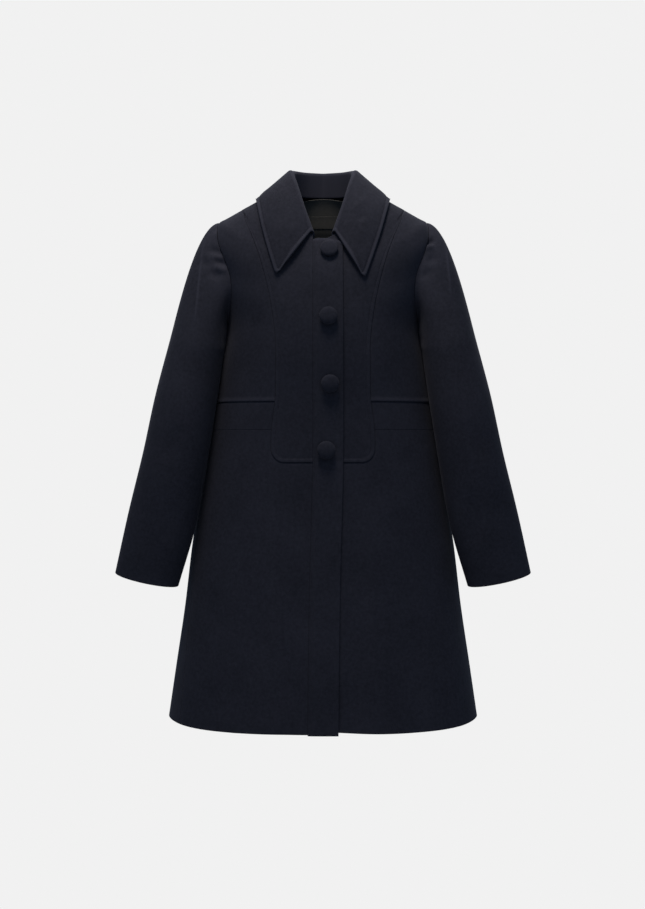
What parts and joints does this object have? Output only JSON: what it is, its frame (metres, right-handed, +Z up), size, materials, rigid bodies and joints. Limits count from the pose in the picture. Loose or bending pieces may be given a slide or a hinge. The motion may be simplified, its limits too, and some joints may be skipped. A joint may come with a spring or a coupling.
{
  "type": "wool coat",
  "caption": "A-line wool coat with a pointed collar, bib front with rounded foot, waistband insets, two-piece sleeves and a buttoned placket, filled out and hollow.",
  "frame": {"origin": "on the middle plane of the body at shoulder height, where the wearer's shoulders carry the coat", "axes": "+Z up, front towards -Y, +X the wearer's left"},
  "size_m": [0.6946, 0.3142, 0.9454],
  "materials": {
    "navy_wool": "matte felted wool",
    "facing_cloth": "matte",
    "label_cloth": "woven, bare"
  },
  "bodies": {
    "root": {"bib_right": "navy_wool", "side_front_right": "navy_wool", "waistband_right": "navy_wool", "skirt_front_right": "navy_wool", "back_right": "navy_wool", "sleeve_top_right": "navy_wool", "sleeve_under_right": "navy_wool", "bib_left": "navy_wool", "side_front_left": "navy_wool", "waistband_left": "navy_wool", "skirt_front_left": "navy_wool", "back_left": "navy_wool", "sleeve_top_left": "navy_wool", "sleeve_under_left": "navy_wool", "placket": "navy_wool", "collar": "navy_wool", "button_1": "navy_wool", "button_2": "navy_wool", "button_3": "navy_wool", "button_4": "navy_wool", "back_neck_facing": "facing_cloth", "neck_label": "label_cloth"}
  },
  "joints": []
}
